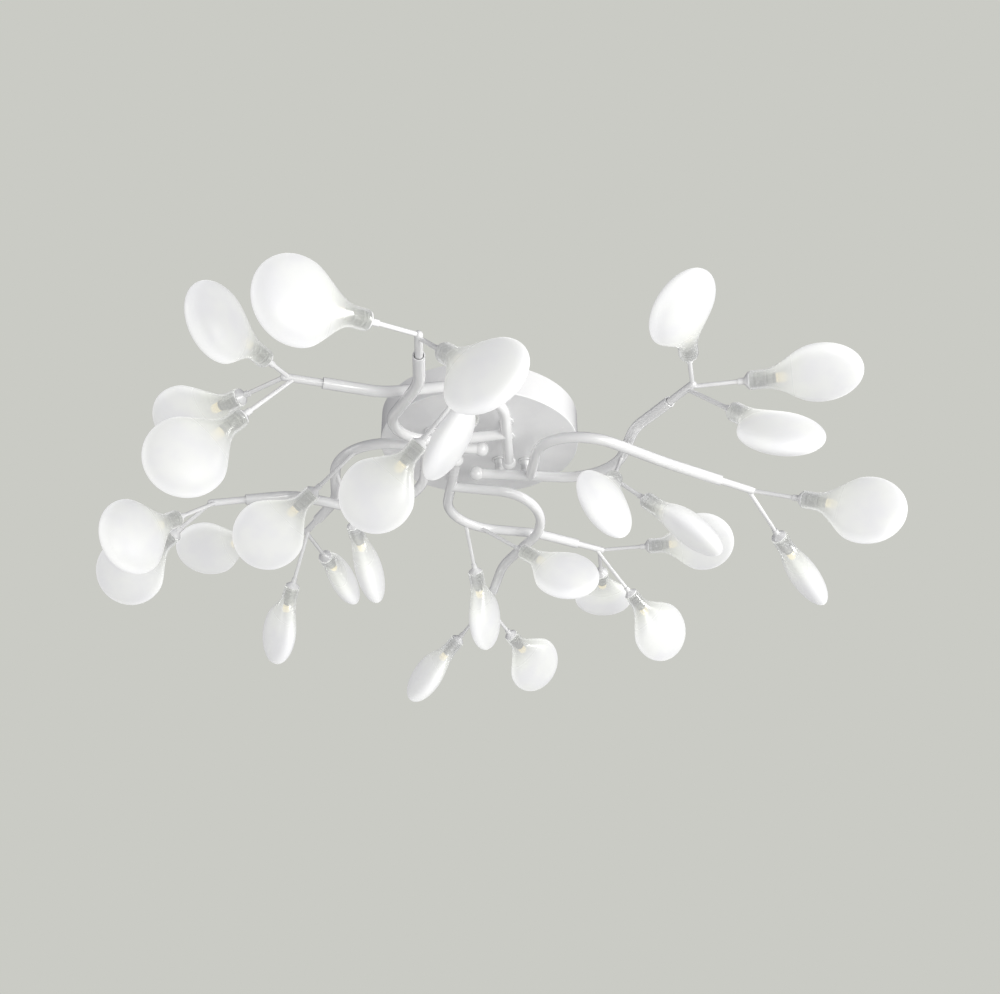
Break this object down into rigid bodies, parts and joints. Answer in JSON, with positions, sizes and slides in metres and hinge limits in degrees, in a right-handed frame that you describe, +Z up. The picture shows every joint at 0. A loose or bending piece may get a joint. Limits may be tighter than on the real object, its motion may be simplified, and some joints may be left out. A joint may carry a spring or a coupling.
{
  "type": "branch chandelier",
  "caption": "Ceiling lamp whose bent tube branches spread from a round canopy and carry frosted leaf-shaped glass shades on thin stems.",
  "frame": {"origin": "middle of the canopy, on the ceiling plane", "axes": "+Z up into the ceiling, Y along the ceiling strap and its two fixing slots"},
  "size_m": [0.7832, 0.7499, 0.2048],
  "materials": {
    "white_lacquer": "gloss",
    "frosted_glass": "satin",
    "holder_metal": "satin",
    "capsule_resin": "satin",
    "seal_rubber": "satin",
    "zinc_steel": "satin",
    "driver_case": "satin",
    "terminal_plastic": "satin"
  },
  "bodies": {
    "frame": {"canopy_shell": "white_lacquer", "ceiling_strap": "zinc_steel", "canopy_screws": "white_lacquer", "led_driver": "driver_case", "driver_screws": "zinc_steel", "terminal_block": "terminal_plastic", "branch_posts": "white_lacquer", "post_nuts": "zinc_steel", "main_tube_right": "white_lacquer", "side_tube_right": "white_lacquer", "outlet_tubes_right": "white_lacquer", "leaf_stems_right": "white_lacquer", "main_tube_far": "white_lacquer", "side_tube_far": "white_lacquer", "outlet_tubes_far": "white_lacquer", "leaf_stems_far": "white_lacquer", "main_tube_left": "white_lacquer", "side_tube_left": "white_lacquer", "outlet_tubes_left": "white_lacquer", "leaf_stems_left": "white_lacquer", "main_tube_near": "white_lacquer", "side_tube_near": "white_lacquer", "outlet_tubes_near": "white_lacquer", "leaf_stems_near": "white_lacquer", "holder_caps": "white_lacquer", "holder_rings": "seal_rubber", "lamp_holders": "holder_metal", "lamp_capsules": "capsule_resin"},
    "shade_right_1": {"leaf_shade_right_1": "frosted_glass"},
    "shade_right_2": {"leaf_shade_right_2": "frosted_glass"},
    "shade_right_3": {"leaf_shade_right_3": "frosted_glass"},
    "shade_right_4": {"leaf_shade_right_4": "frosted_glass"},
    "shade_right_5": {"leaf_shade_right_5": "frosted_glass"},
    "shade_right_6": {"leaf_shade_right_6": "frosted_glass"},
    "shade_right_7": {"leaf_shade_right_7": "frosted_glass"},
    "shade_far_1": {"leaf_shade_far_1": "frosted_glass"},
    "shade_far_2": {"leaf_shade_far_2": "frosted_glass"},
    "shade_far_3": {"leaf_shade_far_3": "frosted_glass"},
    "shade_far_4": {"leaf_shade_far_4": "frosted_glass"},
    "shade_far_5": {"leaf_shade_far_5": "frosted_glass"},
    "shade_far_6": {"leaf_shade_far_6": "frosted_glass"},
    "shade_far_7": {"leaf_shade_far_7": "frosted_glass"},
    "shade_left_1": {"leaf_shade_left_1": "frosted_glass"},
    "shade_left_2": {"leaf_shade_left_2": "frosted_glass"},
    "shade_left_3": {"leaf_shade_left_3": "frosted_glass"},
    "shade_left_4": {"leaf_shade_left_4": "frosted_glass"},
    "shade_left_5": {"leaf_shade_left_5": "frosted_glass"},
    "shade_left_6": {"leaf_shade_left_6": "frosted_glass"},
    "shade_left_7": {"leaf_shade_left_7": "frosted_glass"},
    "shade_near_1": {"leaf_shade_near_1": "frosted_glass"},
    "shade_near_2": {"leaf_shade_near_2": "frosted_glass"},
    "shade_near_3": {"leaf_shade_near_3": "frosted_glass"},
    "shade_near_4": {"leaf_shade_near_4": "frosted_glass"},
    "shade_near_5": {"leaf_shade_near_5": "frosted_glass"},
    "shade_near_6": {"leaf_shade_near_6": "frosted_glass"},
    "shade_near_7": {"leaf_shade_near_7": "frosted_glass"}
  },
  "joints": [
    {"name": "turn_right_1", "type": "hinge", "parent": "frame", "child": "shade_right_1", "pos_m": [0.18227, -0.1897, -0.05575], "axis": [-0.2246, -0.973, 0.0523], "continuous": true},
    {"name": "turn_right_2", "type": "hinge", "parent": "frame", "child": "shade_right_2", "pos_m": [0.24009, -0.15894, -0.06147], "axis": [0.954, -0.2917, -0.0698], "continuous": true},
    {"name": "turn_right_3", "type": "hinge", "parent": "frame", "child": "shade_right_3", "pos_m": [0.21809, -0.17898, -0.1071], "axis": [0.4353, -0.5572, -0.7071], "continuous": true},
    {"name": "turn_right_4", "type": "hinge", "parent": "frame", "child": "shade_right_4", "pos_m": [0.16543, -0.00236, -0.09594], "axis": [0.6355, -0.31, -0.7071], "continuous": true},
    {"name": "turn_right_5", "type": "hinge", "parent": "frame", "child": "shade_right_5", "pos_m": [0.12924, -0.0468, -0.0962], "axis": [-0.2357, -0.5835, -0.7771], "continuous": true},
    {"name": "turn_right_6", "type": "hinge", "parent": "frame", "child": "shade_right_6", "pos_m": [0.31133, -0.03177, -0.11093], "axis": [0.8409, -0.3744, -0.3907], "continuous": true},
    {"name": "turn_right_7", "type": "hinge", "parent": "frame", "child": "shade_right_7", "pos_m": [0.30278, 0.03781, -0.11629], "axis": [0.558, 0.7405, -0.3746], "continuous": true},
    {"name": "turn_far_1", "type": "hinge", "parent": "frame", "child": "shade_far_1", "pos_m": [0.19289, 0.18148, -0.05596], "axis": [0.9742, -0.2249, -0.0175], "continuous": true},
    {"name": "turn_far_2", "type": "hinge", "parent": "frame", "child": "shade_far_2", "pos_m": [0.14207, 0.2432, -0.06129], "axis": [0.121, 0.9851, -0.1219], "continuous": true},
    {"name": "turn_far_3", "type": "hinge", "parent": "frame", "child": "shade_far_3", "pos_m": [0.17479, 0.23159, -0.09411], "axis": [0.6033, 0.5826, -0.5446], "continuous": true},
    {"name": "turn_far_4", "type": "hinge", "parent": "frame", "child": "shade_far_4", "pos_m": [-0.00692, 0.17748, -0.09076], "axis": [0.1723, 0.7464, -0.6428], "continuous": true},
    {"name": "turn_far_5", "type": "hinge", "parent": "frame", "child": "shade_far_5", "pos_m": [0.04603, 0.12386, -0.09064], "axis": [0.7505, -0.2731, -0.6018], "continuous": true},
    {"name": "turn_far_6", "type": "hinge", "parent": "frame", "child": "shade_far_6", "pos_m": [0.03473, 0.32027, -0.11084], "axis": [0.498, 0.7969, -0.342], "continuous": true},
    {"name": "turn_far_7", "type": "hinge", "parent": "frame", "child": "shade_far_7", "pos_m": [-0.03079, 0.3008, -0.1247], "axis": [-0.6275, 0.5265, -0.5736], "continuous": true},
    {"name": "turn_left_1", "type": "hinge", "parent": "frame", "child": "shade_left_1", "pos_m": [-0.18252, 0.2011, -0.0601], "axis": [0.2079, 0.978, -0.0175], "continuous": true},
    {"name": "turn_left_2", "type": "hinge", "parent": "frame", "child": "shade_left_2", "pos_m": [-0.24868, 0.14603, -0.06484], "axis": [-0.9762, 0.1898, -0.1045], "continuous": true},
    {"name": "turn_left_3", "type": "hinge", "parent": "frame", "child": "shade_left_3", "pos_m": [-0.21338, 0.18212, -0.10668], "axis": [-0.307, 0.6895, -0.6561], "continuous": true},
    {"name": "turn_left_4", "type": "hinge", "parent": "frame", "child": "shade_left_4", "pos_m": [-0.16408, -0.00561, -0.08922], "axis": [-0.7238, 0.3375, -0.6018], "continuous": true},
    {"name": "turn_left_5", "type": "hinge", "parent": "frame", "child": "shade_left_5", "pos_m": [-0.13204, 0.07147, -0.08663], "axis": [0.1986, 0.8603, -0.4695], "continuous": true},
    {"name": "turn_left_6", "type": "hinge", "parent": "frame", "child": "shade_left_6", "pos_m": [-0.30584, 0.02932, -0.11724], "axis": [-0.7722, 0.4106, -0.4848], "continuous": true},
    {"name": "turn_left_7", "type": "hinge", "parent": "frame", "child": "shade_left_7", "pos_m": [-0.28656, -0.03013, -0.13106], "axis": [-0.3945, -0.6566, -0.6428], "continuous": true},
    {"name": "turn_near_1", "type": "hinge", "parent": "frame", "child": "shade_near_1", "pos_m": [-0.21113, -0.13701, -0.06436], "axis": [-0.8627, 0.4981, -0.0872], "continuous": true},
    {"name": "turn_near_2", "type": "hinge", "parent": "frame", "child": "shade_near_2", "pos_m": [-0.17921, -0.19032, -0.06102], "axis": [-0.4692, -0.8824, -0.0349], "continuous": true},
    {"name": "turn_near_3", "type": "hinge", "parent": "frame", "child": "shade_near_3", "pos_m": [-0.19876, -0.16957, -0.10649], "axis": [-0.6337, -0.1698, -0.7547], "continuous": true},
    {"name": "turn_near_4", "type": "hinge", "parent": "frame", "child": "shade_near_4", "pos_m": [-0.0049, -0.15029, -0.09441], "axis": [-0.266, -0.5704, -0.7771], "continuous": true},
    {"name": "turn_near_5", "type": "hinge", "parent": "frame", "child": "shade_near_5", "pos_m": [-0.05226, -0.10658, -0.09485], "axis": [-0.64, 0.3999, -0.6561], "continuous": true},
    {"name": "turn_near_6", "type": "hinge", "parent": "frame", "child": "shade_near_6", "pos_m": [-0.08018, -0.2887, -0.09634], "axis": [-0.776, -0.6063, -0.1736], "continuous": true},
    {"name": "turn_near_7", "type": "hinge", "parent": "frame", "child": "shade_near_7", "pos_m": [-0.02133, -0.27439, -0.11579], "axis": [0.5346, -0.4813, -0.6947], "continuous": true}
  ]
}
